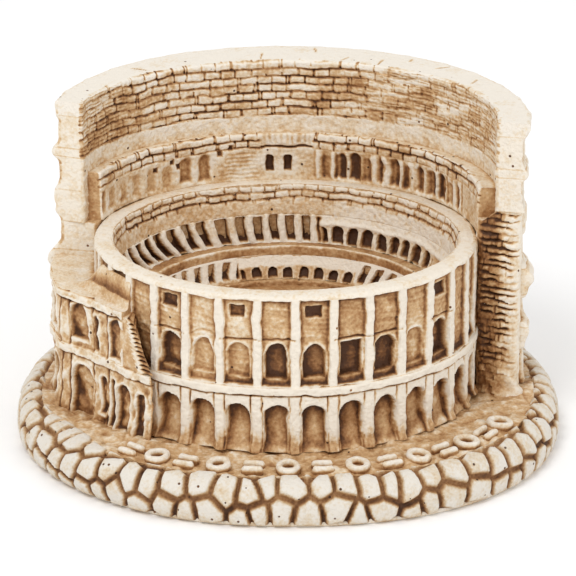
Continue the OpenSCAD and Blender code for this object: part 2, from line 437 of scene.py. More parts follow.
def curve_through(corners, pitch, softness):
    """Even points along a line through corners, with each corner rounded off."""
    corners = np.asarray(corners, float)
    s = np.concatenate([[0], np.cumsum(np.linalg.norm(np.diff(corners, axis=0), axis=1))])
    even = np.linspace(0, s[-1], int(round(s[-1] / pitch)) + 1)
    line = np.stack([np.interp(even, s, corners[:, i]) for i in (0, 1)], -1)
    reach = max(1, int(softness / pitch))
    padded = np.concatenate([2 * line[:1] - line[reach:0:-1], line, 2 * line[-1:] - line[-2:-reach - 2:-1]])
    kernel = np.hanning(2 * reach + 3)[1:-1]
    kernel /= kernel.sum()
    return np.stack([np.convolve(padded[:, i], kernel, "valid") for i in (0, 1)], -1)


def evenly(path, count):
    """A line's points moved to count even steps."""
    s = np.concatenate([[0], np.cumsum(np.linalg.norm(np.diff(path, axis=0), axis=1))])
    even = np.linspace(0, s[-1], count)
    return np.stack([np.interp(even, s, path[:, i]) for i in (0, 1)], -1)


def oval_path(oval, t0, t1, count):
    r = np.radians(np.linspace(t0, t1, count))
    return np.stack([oval[2] + oval[0] * np.sin(r), -oval[1] * np.cos(r)], -1)


def plain(t, z):
    return 0 * t, 0 * t + 0.3


# ---------------------------------------------------------------- shapes in relief

def arch_depth(x, z, width, crown):
    """How far inside an arch's edge each point lies, in mm. Negative is outside."""
    spring = crown - width / 2
    return np.where(z > spring, width / 2 - np.hypot(x, z - spring), width / 2 - np.abs(x))


def box_depth(x, z, half, low, high):
    return np.minimum(half - np.abs(x), np.minimum(z - low, high - z))


def cut(depth, soft=0.18):
    """1 inside an outline and 0 outside, over a narrow slope."""
    return smooth(-soft, soft, depth)


def bricks(s, z, course, length, seed, wave=0.25):
    """How deep the grooves between bricks are, deepest in short ticks at the joints, and
    each brick's own random number, over wavy courses."""
    level = z + wave * wobble(s, 7.0, seed) + 0.35 * wave * wobble(s, 2.5, seed + 1)
    row = np.floor(level / course)
    up = level - (row + 0.5) * course
    along = s / length + 0.5 * (row % 2) + 0.5 * dice(row, row * 0 + seed)
    along = along + 0.06 * wobble(z + s, 1.5, seed)
    column = np.floor(along)
    shift = 0.3 * (dice(column, row, row * 0 + seed) - 0.5)
    across = np.abs(along - column - 0.5 - shift)
    bed = (course / 2 - np.abs(up)) / 0.20
    joint = (0.5 - across) * length / 0.20
    tick = 0.35 + 0.65 * smooth(0.1, 0.5, np.abs(up / course))
    tick = tick * (dice(column, row, row * 0 + seed + 5) > 0.12)
    groove = np.maximum(np.exp(-bed ** 2) * (0.7 + 0.3 * wobble(s + 31 * row, 1.3, seed + 2)),
                        1.4 * tick * np.exp(-joint ** 2))
    return groove, dice(column, row, row * 0 + seed + 9)


# ---------------------------------------------------------------- front arcade

# Bays counted from the one nearest the front, by what their panels hold
WINDOW_BAYS = (-3, -1, 1, 5)
LINED_BAYS = (-3, -1, 0, 2, 3, 5)
PALE_BAYS = (-2, -1, 4)
BOWED_BAYS = (-2,)
SQUARE_BAYS = (2,)
BLANK_BAYS = (-4, 6)
PIER_BAY = 8                # the pier stands against this one

ARCH_WIDTH = 4.1
ARCH_CROWN = STRING - 1.75
NICHE_WIDTH = 3.7
NICHE_CROWN = PANELS + 7.7
NICHE_SILL = PANELS + 1.5


def among(k, chosen):
    return np.isin(k, chosen).astype(float)


def open_storey(k, x, half, z):
    """The lower storey: an open arcade, with narrow grooves between plain strips."""
    side = half - np.abs(x)
    luck = dice(k, k * 0 + 3)
    clear = (k < PIER_BAY) * 1.0
    blotch = wobble(x + 9 * k, 1.7, 11)
    strip = 1 - smooth(0.62, 0.82, side)
    groove = hump(side, 0.98, 0.15) * smooth(GROUND - 1, GROUND + 1.5, z + 2 * luck)
    arch = arch_depth(x, z, np.minimum(ARCH_WIDTH, 2 * half - 2.0), ARCH_CROWN + 0.3 * (luck - 0.5))
    inside = cut(arch, 0.22) * clear
    height = 0.12 * strip - 0.30 * groove - (1.75 + 0.3 * luck) * inside
    height += 0.7 * (1 - smooth(GROUND - 0.2, GROUND + 1.6, z + 0.5 * blotch))
    height += 1.3 * inside * smooth(GROUND + 5, GROUND - 0.5, z)
    shade = smooth(0.4, -1.6, x) * 0.18 + 0.36 * smooth(STRING - 7, STRING - 2.2, z) - 0.08
    streak = 0.3 + 0.7 * smooth(-0.3, 0.4, wobble(z + 13 * k + 5 * np.sign(x), 2.2, 12))
    right = smooth(-1, 2, k)    # painted shade: the arches darken to the right of the front, where the ring turns from the light
    stain = 0.07 + inside * (0.15 + 0.07 * right + shade + 0.12 * blotch) + 0.55 * groove * streak
    low = 1 - smooth(GROUND + 0.3, GROUND + 5.0, z + 1.6 * blotch)
    stain += 0.50 * low * (1 - 0.6 * inside) + 0.16 * (1 - clear)
    return height, stain


def panel_storey(k, x, half, z):
    """The upper storey: tall sunk panels, each with an arch, and here and there a window."""
    luck = dice(k, k * 0 + 3)
    clear = (k < PIER_BAY) * 1.0
    blotch = wobble(x + 9 * k, 1.7, 11)
    pale_bay = among(k, PALE_BAYS)
    bowed_bay = among(k, BOWED_BAYS)
    panel = box_depth(x, z, half - 0.8, PANELS + 0.15, RIM - 0.95)
    recess = cut(panel, 0.2) * clear
    window = box_depth(x + 0.15, z, 1.35, RIM - 4.1, RIM - 2.1)
    window = cut(window, 0.16) * among(k, WINDOW_BAYS)
    line = hump(z, PANELS + 8.55 + 0.12 * x * (luck - 0.5), 0.17) * among(k, LINED_BAYS)
    crown = NICHE_CROWN + 0.25 * (luck - 0.5)
    wide = np.minimum(NICHE_WIDTH, 2 * half - 2.3)
    shape = np.minimum(arch_depth(x, z, wide, crown), z - NICHE_SILL)
    square = box_depth(x, z, wide / 2, NICHE_SILL, crown)
    shape = np.where(np.isin(k, SQUARE_BAYS), square, shape)
    bowed = hump(shape, -1.5, 0.16) * bowed_bay * smooth(PANELS + 5.8, PANELS + 7.2, z)
    deep = 1 - 0.9 * among(k, BLANK_BAYS) - 0.5 * pale_bay
    opening = cut(shape, 0.22) * deep
    border = hump(shape, -0.36, 0.22) * deep * smooth(PANELS + 1.9, PANELS + 3.0, z)
    stipple = 0.09 * wobble(z + 0.10 * x + 5 * k, 0.42, 13) + 0.05 * wobble(x + 0.4 * z + 7 * k, 0.6, 15)
    height = -recess * (0.78 + stipple) - 0.75 * window - 0.32 * line - 0.2 * bowed
    height += (0.16 * border * (0.2 + luck) - 1.4 * opening) * recess
    height -= 0.25 * recess * hump(z, PANELS + 0.9, 0.7)
    # painted shade: the panels darken to the right of the front, where the ring turns from the light
    right = smooth(-1, 2, k)
    pale = 0.10 * pale_bay + 0.08 * bowed_bay
    jamb = recess * (1 - smooth(0.1, 0.75, panel))
    stain = 0.03 + 0.14 * (1 - clear) + recess * (0.30 + 0.06 * right - pale)
    stain += 0.16 * jamb + 0.40 * window + 0.3 * line
    dark = 0.30 * (0.6 + 0.6 * luck) - 0.30 * pale_bay
    # painted shadow: each opening is darker on its left, as if lit from the left
    stain += opening * (dark - 0.03 + 0.15 * smooth(0.8, -0.8, x)) - 0.10 * border * recess
    puddle = 1 - smooth(0.4, 3.2, z - PANELS + 0.8 * blotch)
    stain += recess * ((0.30 - pale) * puddle + 0.10 * wobble(x + z + 9 * k, 1.6, 14))
    return height, stain


def arcade_relief(t, z):
    """The ring's front: two storeys, with a plain band between them and one above."""
    k, x, half = bay_frame(RING_OUT, t)
    lower, lower_stain = open_storey(k, x, half, z)
    upper, upper_stain = panel_storey(k, x, half, z)
    level = smooth(STRING - 0.1, STRING + 0.25, z)
    band = smooth(STRING, STRING + 0.35, z) * (1 - smooth(PANELS - 0.3, PANELS + 0.1, z))
    seam = hump(z, STRING - 0.05, 0.14)
    above = smooth(PANELS - 0.1, PANELS + 0.1, z)
    height = lower * (1 - level) + upper * above + 0.42 * band - 0.42 * seam
    stain = lower_stain * (1 - level) + upper_stain * above - 0.06 * band + 0.42 * seam
    return height, stain


def rim_top(p, share):
    scuff = 0.10 * grain(p, 2.2, 41) + 0.05 * grain(p, 0.8, 42)
    return 0.12 * np.sin(share * math.pi) + 0.6 * scuff, 0.02 + scuff


def front_ring():
    """The whole ring, with a fine grid where its front shows and a coarse one behind."""
    t = angles(RING_OUT, (-104, 94, RING_STEP), (94, 256, 1.4))
    inner = grown(RING_IN, 0.15)
    for node, step, high_r in (("lower_arcade", RING_STEP, 0), ("string_course", 0.14, 0),
                               ("upper_arcade", RING_STEP, 0), ("arcade_rim", 0.14, 0.75)):
        z0, z1 = low_of(node)[2], high_of(node)[2]
        levels = rounded(z0, z1, step, 0, high_r)
        inside = np.linspace(z0, z1, len(levels[0])), 0 * levels[1]
        ring = block(node + "_cast", face(t, levels, RING_OUT, RING_OUT, 1, arcade_relief, True),
                     face(t, inside, inner, inner, -1, plain, True),
                     across=16 if high_r else 4, wrap=True, lid=rim_top if high_r else None)
        hand_over(ring, "cream_cast", node)


front_ring()


# ---------------------------------------------------------------- bowl

BOWL_T = angles(RING_IN, (-90, 270, BOWL_STEP))


def ledge(rise, stain, seed):
    def lid(p, share):
        scuff = 0.14 * grain(p, 2.4, seed) + 0.07 * grain(p, 0.8, seed + 1)
        return rise * np.sin(share * math.pi) + 0.5 * scuff, stain + scuff
    return lid


def seat_relief(t, z):
    """Three courses of bricks over a plain band."""
    s = arc(SEATS_IN, t)
    groove, luck = bricks(s, z - RIM + 3.9, 1.3, 2.5, 21)
    walled = smooth(SEATS + 1.9, SEATS + 2.4, z + 0.2 * wobble(s, 3, 22))
    back = smooth(60, 100, t) * (1 - smooth(262, 285, t))
    right = 1 - smooth(150, 175, t)
    hatch = np.sin(s * 5.5 + 2 * wobble(s, 2, 24)) * wobble(s + 2 * z, 0.9, 23)
    band = between(z, SEATS - 0.1, SEATS + 2.1, 0.2) * right
    height = walled * (0.16 * (luck - 0.5) - 0.42 * groove) * back + 0.10 * hatch * band
    taken = dice(np.floor(s / 2.5), s * 0 + 4)
    stain = 0.26 - 0.05 * right + walled * back * (0.24 * (luck - 0.5) + 0.55 * groove * taken)
    stain = stain - 0.22 * walled * hump(z, RIM, 0.5) - 0.16 * band
    return height, stain


def fin_relief(t, z):
    """Curved radial walls round the left and the back, and small dark arches at the right."""
    s = arc(FINS_IN, t)
    up = z - FINS
    step = 2.9                  # from one radial wall to the next
    lean = -(0.05 + 0.30 * smooth(185, 245, t)) * (up - 0.2 - 0.12 * (up - 0.2) ** 2)
    turn = s / step + lean + 0.2 * wobble(s, 5, 33)
    middle = turn - np.floor(turn) - 0.5
    cell = np.abs(middle)
    slot = cut((0.24 - cell) * step, 0.2) * between(up, 0.3, 4.7, 0.35)
    left = smooth(166, 170, t)
    niche = np.minimum(arch_depth(middle * step, up, 1.9, 3.2), up - 0.2)
    niche = cut(niche, 0.2) * between(t, 112, 166, 1)
    rim = hump(up, 3.7, 0.35) * (1 - left)
    height = -1.9 * slot * left - 1.4 * niche + 0.25 * rim + 0.3 * left * hump(cell, 0.5, 0.12)
    stain = 0.30 + 0.46 * slot * left * (0.6 + 0.5 * dice(np.floor(turn), s * 0 + 34)) + 0.22 * niche
    stain = stain - 0.24 * between(up, 3.4, 5.3, 0.2) * (1 - left)
    stain = stain - 0.22 * left * (1 - slot) * smooth(2.7, 0.7, up)
    stain = stain + 0.05 * (1 - left) * smooth(3.7, 2.7, up)
    return height, stain


def terrace_relief(t, z):
    s = arc(TERRACE_IN, t)
    return 0.05 * wobble(s, 1.5, 35), 0.42 + 0.10 * wobble(s, 4.0, 36) - 0.30 * hump(z, FINS, 0.3)


def arena_wall_relief(t, z):
    """A white wall over a row of small arches, with tall slots between ribs to each side."""
    s = arc(PODIUM_OUT, t)
    up = z - PODIUM
    step = 2.8                  # from one arch to the next
    nx = (s / step - np.floor(s / step) - 0.5) * step
    arch = cut(np.minimum(arch_depth(nx, up, 1.5, 1.8), up - 0.2), 0.18) * between(t, 149, 200, 1)
    ribbed = np.maximum(between(t, 202, 264, 1), between(t, 116, 147, 1))
    slot = cut(0.62 - np.abs(nx + 0.25 * (up - 2.1)), 0.2) * between(up, 0.6, 3.4, 0.25) * ribbed
    height = -1.1 * arch - 1.4 * slot + 0.25 * ribbed * (1 - slot)
    white = np.maximum(smooth(1.9, 2.4, up), ribbed * smooth(0.3, 0.9, up))
    stain = 0.42 - 0.42 * white + 0.28 * arch + 0.55 * slot
    return height, stain


def podium_relief(t, z):
    return 0 * t, 0.36 + 0 * t


BOWL_BANDS = (
    # node, foot, outer oval, ovals at its foot and its top, relief, wash of its ledge, slot
    ("seating_courses", SEATS, grown(RING_IN, 0.2), SEATS_IN, RING_IN, seat_relief, 0.05, "cream_cast"),
    ("radial_wall_gallery", FINS, RING_IN, FINS_IN, SEATS_IN, fin_relief, 0.3, "cream_cast"),
    ("arena_terrace", LEDGE, FINS_IN, TERRACE_IN, TERRACE_IN, terrace_relief, 0.44, "tan_ground"),
    ("arena_wall", PODIUM, TERRACE_IN, PODIUM_OUT, TERRACE_IN, arena_wall_relief, 0.05, "cream_cast"),
    ("podium_kerb", ARENA, PODIUM_OUT, PODIUM_IN, PODIUM_IN, podium_relief, 0.42, "tan_ground"),
)


def bowl_bands():
    for node, z0, outside, foot, head, relief, stain, slot in BOWL_BANDS:
        levels = rounded(z0, high_of(node)[2], 0.2, 0, 0.3)
        behind = levels[0], 0 * levels[1]
        band = block(node + "_cast", face(BOWL_T, behind, outside, outside, 1, plain, True),
                     face(BOWL_T, levels, foot, head, -1, relief, True), across=12, wrap=True,
                     lid=ledge(0.02 if node == "seating_courses" else 0.0, stain, 50))
        hand_over(band, slot, node)


def arena_disc(node, oval, z0, z1, stain, t):
    """A low drum with a lumpy top."""
    ring = np.array([0, 0.15, 0.3, 0.45, 0.6, 0.75, 0.88, 1.0])
    radius = np.concatenate([[0], ring[1:], [1.0, 0.0]])
    z = np.concatenate([[z1] * 8, [z0, z0]])
    r = np.radians(t)[:, None]
    p = np.stack([oval[2] + oval[0] * radius * np.sin(r), -oval[1] * radius * np.cos(r), z + 0 * r], -1)
    p[:, :7, 2] += 0.10 * grain(p, 2.5, 61)[:, :7]
    wash = stain + 0.12 * grain(p, 3.0, 62) + 0.08 * grain(p, 1.0, 63)
    hand_over(turned(node + "_cast", p[:, ::-1], wash[:, ::-1]), "tan_ground", node)


bowl_bands()
UNDER_ARENA = low_of("arena_floor")[2]
arena_disc("arena_floor", grown(PODIUM_IN, 0.1), UNDER_ARENA, ARENA, 0.46, BOWL_T[::2])
arena_disc("substructure", grown(RING_IN, -0.4), GROUND, UNDER_ARENA - 0.2, 0.5, BOWL_T[::8])


# ---------------------------------------------------------------- niche gallery

# Rows of arches, as (from, to, pitch, width, crown, depth, wash): fluted brown ones at the
# right, and faint grey ones at the left
GALLERY_ARCHES = ((112, 170, 2.7, 1.7, 5.2, 0.6, 0.15), (204, 254, 3.6, 2.0, 5.3, 0.42, 0.09))
# Small windows, as (angle, height)
GALLERY_WINDOWS = ((224.0, 4.6), (217.3, 5.4), (215.0, 4.2), (200.7, 5.6), (197.5, 6.6))


def gallery_relief(t, z):
    """Two brick courses under the ledge, then niches, windows and fluted arches."""
    s = arc(GALLERY_IN, t)
    up = z - RIM
    gap = between(t, 171.5, 187.5, 0.8)
    groove, luck = bricks(s, z - GALLERY + 2.9, 1.45, 2.7, 71)
    walled = smooth(5.9, 6.4, up) * (1 - gap)
    height = walled * (0.18 * (luck - 0.5) - 0.5 * groove)
    worn = 0.5 + 0.5 * smooth(-0.4, 0.6, wobble(s + 9, 5.0, 72))
    stain = 0.19 + 0.12 * wobble(s + z, 3.0, 74) + walled * (0.22 * (luck - 0.5) + 0.60 * groove * worn)
    stain = stain - 0.28 * walled * hump(z, GALLERY, 0.6) + 0.04 * between(t, 100, 172, 3)
    for t0, t1, pitch, width, crown, depth, dark in GALLERY_ARCHES:
        number = np.floor(s / pitch)
        own = dice(number, number * 0 + 76) - 0.5
        nx = (s / pitch - number - 0.5 + 0.12 * own) * pitch
        shape = np.minimum(arch_depth(nx, up, width + 0.5 * own, crown + 0.9 * own), up - 0.9)
        niche = cut(shape, 0.5) * between(t, t0, t1, 0.7)
        height = height - depth * niche * (1 + own)
        stain = stain + dark * niche * (1 + 1.5 * own) + 0.03 * between(t, t0, t1, 0.7)
    flute = wobble(s + 0.3 * wobble(z, 1.5, 77), 0.55, 78)
    flute = flute * between(t, 110, 171, 1) * between(up, 0.6, 5.8, 0.4)
    height, stain = dented(height, stain, flute, 0.22, 0.16)
    for at, level in GALLERY_WINDOWS:
        window = cut(box_depth(s - arc(GALLERY_IN, at), up, 0.4, level - 0.5, level + 0.5), 0.2)
        height, stain = dented(height, stain, window, 0.5, 0.38)
    # the low stretch in the middle: hatched above, with two dark niches
    upper = gap * smooth(6.6, 7.2, up)
    hatch = np.sin(s * 6.0 + 1.5 * wobble(s, 1.3, 73)) * upper
    height, stain = dented(height - 0.07 * hatch, stain - 0.05 * upper, hump(up, 6.4, 0.2) * gap, 0.45, 0.5)
    for at in (184.8, 179.2):
        niche = np.minimum(arch_depth(s - arc(GALLERY_IN, at), up, 1.3, 4.8), up - 1.8)
        height, stain = dented(height, stain, cut(niche, 0.2), 1.0, 0.55)
    # fine lines to the left of it
    lines = np.sin(z * 8.0) * between(t, 188.5, 199, 0.8) * smooth(6.0, 5.2, up)
    return height + 0.06 * lines, stain - 0.06 * smooth(1.6, 0.4, up)


def gallery_top(p, share):
    scuff = 0.12 * grain(p, 2.4, 75) + 0.06 * grain(p, 0.8, 76)
    return 0.4 * scuff, 0.10 + scuff + 0.25 * smooth(0.35, 0.0, share)


def niche_gallery():
    t = np.append(angles(WALL_IN, GALLERY_ENDS + (BOWL_STEP,)), GALLERY_ENDS[1])
    levels = rounded(RIM, GALLERY, 0.2, 0, 0.35)
    behind = levels[0], 0 * levels[1]
    outside = grown(WALL_IN, 0.2)
    gallery = block("niche_gallery_cast", face(t, behind, outside, outside, 1, plain),
                    face(t, levels, GALLERY_IN, GALLERY_IN, -1, gallery_relief, end_r=0.3),
                    across=12, lid=gallery_top, end_wash=0.40)
    hand_over(gallery, "cream_cast", "niche_gallery")


niche_gallery()


# ---------------------------------------------------------------- tall outer wall

# Outline of the mouldings up the outside, as (height, how far out)
MOULDINGS = np.array([
    (8.0, 1.0), (9.0, 1.0), (10.0, 0.6), (16.0, 0.6), (17.2, 1.0), (19.5, 1.7), (20.8, 1.0), (21.6, 0.2),
    (25.2, 0.2), (26.2, 0.8), (27.0, 1.3), (27.8, 1.2), (29.0, 2.3), (30.2, 2.0), (31.8, 0.5),
    (33.2, -0.6), (37.4, -0.6), (38.4, 0.5), (39.0, 0.5), (39.7, 0.1), (40.6, 0.6), (42.4, 0.6),
    (44.0, -0.2), (45.2, -0.5), (48.6, -0.5), (49.6, 0.7), (50.1, 0.9), (51.0, 0.3), (51.9, -0.5),
    (56.2, -0.6), (57.1, 0.3), (58.3, 0.9), (59.7, 0.8)])
# The arches of each storey, as (foot, crown, width)
STOREYS = ((8.0, 15.9, 4.6), (21.2, 25.6, 3.8), (32.6, 37.0, 3.6), (44.3, 48.4, 3.2))
SOLID_BAY = 23              # from here on, at the left, there are no arches


def wall_relief(t, z):
    """Four storeys of arches between engaged columns, with a windowed attic."""
    k, x, half = bay_frame(WALL_OUT, t)
    fine = np.linspace(MOULDINGS[0, 0], MOULDINGS[-1, 0], 600)
    outline = np.interp(fine, MOULDINGS[:, 0], MOULDINGS[:, 1])
    outline = blurred(outline[None].repeat(4, 0), 0, 4, False)[0]
    height = np.interp(z, fine, outline)
    height = height - 0.8 * smooth(210, 255, t) * smooth(TOP - 3.2, TOP - 1.7, z)
    side = half - np.abs(x)
    luck = dice(k, k * 0 + 7)
    arched = (k < SOLID_BAY) * 1.0
    column = np.sqrt(np.clip(1 - (side / 0.95) ** 2, 0, 1))
    recess = np.clip(-height, 0, 1)
    height = height + column * (0.25 + recess)
    stain = 0.10 + 0.12 * np.clip(-height, 0, 1)
    for number, (foot, crown, width) in enumerate(STOREYS):
        shape = arch_depth(x, z, width, crown)
        if number:
            shape = np.minimum(shape, z - foot)
        opening = cut(shape, 0.25) * arched
        border = hump(shape, -0.45, 0.3) * arched
        near = between(z, foot - 0.5, crown + 0.9, 0.3)
        height = height + near * (0.16 * border - 1.35 * opening)
        stain = stain + opening * (0.34 + 0.2 * luck) + 0.08 * near * (1 - column)
    window = cut(box_depth(x, z, 0.8, TOP - 6.5, TOP - 4.7), 0.16) * (k % 2)
    height, stain = dented(height, stain, window, 0.9, 0.4)
    s = arc(WALL_OUT, t)
    groove, own = bricks(s, z, 1.55, 3.2, 81, 0.12)
    fade = 0.4 + 0.6 * smooth(-0.2, 0.5, wobble(s + 3 * z, 6.0, 82))
    flat = (1 - column) * fade * (height < 0.05)
    height, stain = dented(height, stain, groove * flat, 0.14, 0.16)
    low = 1 - smooth(GROUND + 0.3, GROUND + 3.5, z + wobble(s, 2.0, 83))
    return height, stain + 0.05 * (own - 0.5) + 0.3 * low


def courses_relief(t, z):
    """Wavy brick courses over a plain band, on the wall's inside."""
    s = arc(WALL_IN, t)
    course = 1.5
    up = z - COURSES
    row = np.floor(z / course)
    groove, luck = bricks(s, up, course, 2.9, 91, 0.34)
    walled = smooth(-0.3, 0.1, up + 0.15 * wobble(s, 3.0, 92))
    bold = between(t, 160, 232, 12)
    patch = 0.5 + 0.5 * smooth(-0.5, 0.5, wobble(s + 5 * row, 4.5, 93))
    twin = hump(np.abs(up / course % 1 - 0.5), 0.22, 0.05) * (1 - bold)
    height = walled * (0.24 * (luck - 0.5) - (0.26 + 0.20 * bold) * groove * patch - 0.12 * twin)
    taken = 0.07 + 0.26 * (luck - 0.5) + (0.18 + 0.28 * bold) * groove * patch + 0.10 * twin
    taken = taken + 0.12 * smooth(-0.2, 0.6, wobble(s + 40 * row, 6.0, 97)) * bold
    taken = taken + 0.10 * wobble(s + 2 * z, 5.0, 94)
    taken = taken + 0.14 * (between(t, 228, 262, 8) + 0.2 * between(t, 95, 122, 8))
    return height, 0.13 + walled * taken - 0.20 * smooth(TOP - 0.7, TOP - 0.1, z)


# Scratches on the rim, as (angle, lean, from and to as shares of the way across)
SCRATCHES = ((228, 1.2, 0.35, 0.8), (188, -0.8, 0.5, 0.9), (171, 0.9, 0.1, 0.4), (150, 0.5, 0.55, 0.95),
             (133, -1.0, 0.1, 0.5), (118, 1.4, 0.3, 0.7), (160, -1.3, 0.6, 0.9), (142, 0.8, 0.15, 0.4))


def coping_top(p, share):
    """Smooth rim with a few short scratches."""
    scuff = 0.06 * grain(p, 3.0, 95) + 0.03 * grain(p, 0.9, 96)
    t = np.degrees(np.arctan2(p[..., 0], -p[..., 1])) % 360
    scratch = 0.0
    for at, lean, low, high in SCRATCHES:
        here = hump(t + lean * (share - 0.5) * 4, at, 0.28)
        scratch = scratch + here * between(share, low, high, 0.06)
    return 0.5 * scuff - 0.18 * scratch, scuff + 0.65 * scratch


WALL_BANDS = ("outer_storey_1", "outer_cornice_1", "outer_storey_2", "outer_cornice_2", "outer_storey_3",
              "outer_cornice_3", "outer_storey_4", "outer_cornice_4", "attic_storey", "wall_coping")


def outer_wall():
    """The wall's bands. Above the pier they reach further to the front at the right, and
    above the ring they have brick courses on their inside."""
    pier_top = high_of("right_brick_pier")[2]
    for node in WALL_BANDS:
        z0, z1 = low_of(node)[2], high_of(node)[2]
        above_ring = z0 >= RIM
        right = RIGHT_END_HIGH if z0 > pier_top - 1 else RIGHT_END
        coping = node == "wall_coping"
        levels = rounded(z0, z1, 0.22, 0, 0.55 if coping else 0)
        t = angles(WALL_OUT, (right, 100, WALL_STEP), (100, 250, BACK_STEP), (250, LEFT_END, WALL_STEP))
        t = np.append(t, LEFT_END)
        inside = WALL_IN if above_ring else grown(RING_OUT, 0.25)
        relief = courses_relief if above_ring else plain
        band = block(node + "_cast", face(t, levels, WALL_OUT, WALL_OUT, 1, wall_relief, end_r=0.45),
                     face(t, levels, inside, inside, -1, relief, end_r=0.45),
                     across=16, lid=coping_top if coping else None, end_wash=0.02)
        hand_over(band, "white_edges" if coping else "cream_cast", node)


outer_wall()


# ---------------------------------------------------------------- cut end at the right

PIER_COURSE = 1.28
PIER_BRICK = 1.2
PIER_FILL = 2.2             # how much of the face fills the gap beside the arcade


def pier_relief(s, z):
    """Ragged courses that run round the corner: brown on the flank and white on the front."""
    s = s - PIER_FILL
    level = (z + 0.36 * wobble(s, 1.9, 141) + 0.12 * wobble(s + z, 0.7, 149)) / PIER_COURSE
    row = np.floor(level)
    own = dice(row, row * 0 + 142) - 0.5
    bed = hump(0.5 - np.abs(level - row - 0.5), 0, 0.24 / PIER_COURSE)
    strong = smooth(0.8, 2.6, s) * (1 - smooth(6.6, 9.4 + 2.4 * own, s))
    strong = strong * smooth(GROUND + 3, GROUND + 8, z + 2 * own)
    taken = 0.15 + 1.05 * smooth(-0.35, 0.35, wobble(s + 7 * row, 1.5, 145))
    along = s / PIER_BRICK + 0.5 * (row % 2)
    column = np.floor(along)
    joint = hump(along % 1, 0.5 + 0.5 * (dice(column, row) - 0.5), 0.10)
    joint = joint * (dice(column, row, row * 0 + 6) > 0.62) * (1 - smooth(5.8, 7.2, s))
    luck = dice(row, column, row * 0 + 143)
    rough = wobble(1.3 * s + 0.9 * z, 0.9, 150) + wobble(1.1 * z - 0.8 * s, 0.8, 151)
    flank = 1 - smooth(5.8, 8.6, s)
    height = (0.40 * (luck - 0.5) + 0.12 * rough) * flank - (0.55 * bed * taken + 0.22 * joint) * strong
    low = 1 - smooth(GROUND + 1, GROUND + 8, z)
    tone = 0.56 * (1 - smooth(3.8, 7.4 + 2.2 * own, s + 0.9 * wobble(z, 1.2, 147))) * smooth(-0.4, 2.2, s)
    tone = tone + 0.09 + (0.24 * (luck - 0.5) - 0.08 * rough) * flank + 0.12 * wobble(s + z, 2.2, 148)
    tone = (tone - 0.10 * smooth(8.2, 9.4, s)) * (1 - 0.45 * low) - 0.12 * (1 - smooth(-1.2, 0.4, s))
    stain = 0.05 + tone + (0.40 * bed * taken + 0.16 * joint) * strong + 0.16 * low * flank
    return height + 0.4 * low * wobble(s + z, 2.0, 144) + 0.8 * smooth(GROUND + 1.5, GROUND - 0.6, z), stain


def right_pier():
    node = "right_brick_pier"
    low, high = low_of(node), high_of(node)
    left, right, front = low[0], high[0], low[1]
    inner_x = RING_OUT[0] + RING_OUT[2]
    path = curve_through([(inner_x - 0.1, 1.5), (inner_x, -1.2), (inner_x + 0.6, -2.5),
                          (left - 2.0, front + 1.5), (left - 0.2, front + 0.5), (right - 1.2, front + 0.2),
                          (right - 0.2, front + 0.8), (right + 0.2, front + 2.6)], 0.2, 1.1)
    back = [(inner_x, 2.6), (left, 3.0), (right, 2.0), (right + 0.2, front + 2.8)]
    back = evenly(np.array(back), len(path))
    s = np.linspace(0, 1, len(path))[:, None]
    top = high[2] - 2.5 * (1 - smooth(0.25, 0.60, s))
    z = GROUND - 0.6 + (top - GROUND + 0.6) * np.linspace(0, 1, 180)[None]
    pier = block("right_pier_cast", path_face(path, z, 1, pier_relief, 0.3),
                 path_face(back, z, -1, plain), across=10, end_wash=0.1,
                 lid=lambda p, share: (0.25 * grain(p, 1.2, 145), 0.2 + 0.2 * grain(p, 1.5, 146)))
    hand_over(pier, "cream_cast", node)


right_pier()


# ---------------------------------------------------------------- ruined front at the left

LEFT_FACE = ((-42.3, 0.0), (-40.4, -8.6), (-34.4, -13.6), (-28.6, -20.0))
LEFT_TIP = (-23.8, -24.4)
LEFT_TIP_ANGLE = 315.0
LEFT_HIGH_ANGLE = 307.5
LEFT_TOP = high_of("left_terrace")[2]

# Hollows in the two storeys, as (distance along the face, width, foot, crown, depth, wash)
LOWER_HOLLOWS = ((4.0, 3.8, 7.0, 16.2, 1.2, 0.1), (12.0, 3.8, 7.0, 16.0, 1.2, 0.1),
                 (22.0, 4.6, 7.0, 17.0, 1.1, -0.06),
                 (27.6, 1.4, 9.5, 16.2, 0.6, 0.10), (30.2, 0.9, 8.0, 16.8, 0.8, 0.22),
                 (32.7, 2.6, 8.0, 16.4, 0.9, 0.06), (36.9, 2.0, 7.0, 15.8, 0.8, 0.16))
UPPER_HOLLOWS = ((4.0, 3.6, 21.5, 28.0, 1.1, 0.1), (12.0, 3.6, 21.5, 28.0, 1.1, 0.1),
                 (21.3, 4.0, 21.8, 28.6, 1.0, -0.02), (25.6, 1.0, 20.9, 27.4, 0.8, 0.2),
                 (30.9, 3.0, 21.0, 28.2, 0.6, 0.10))
LEFT_GROOVES = (16.6, 18.9, 24.7, 28.7)


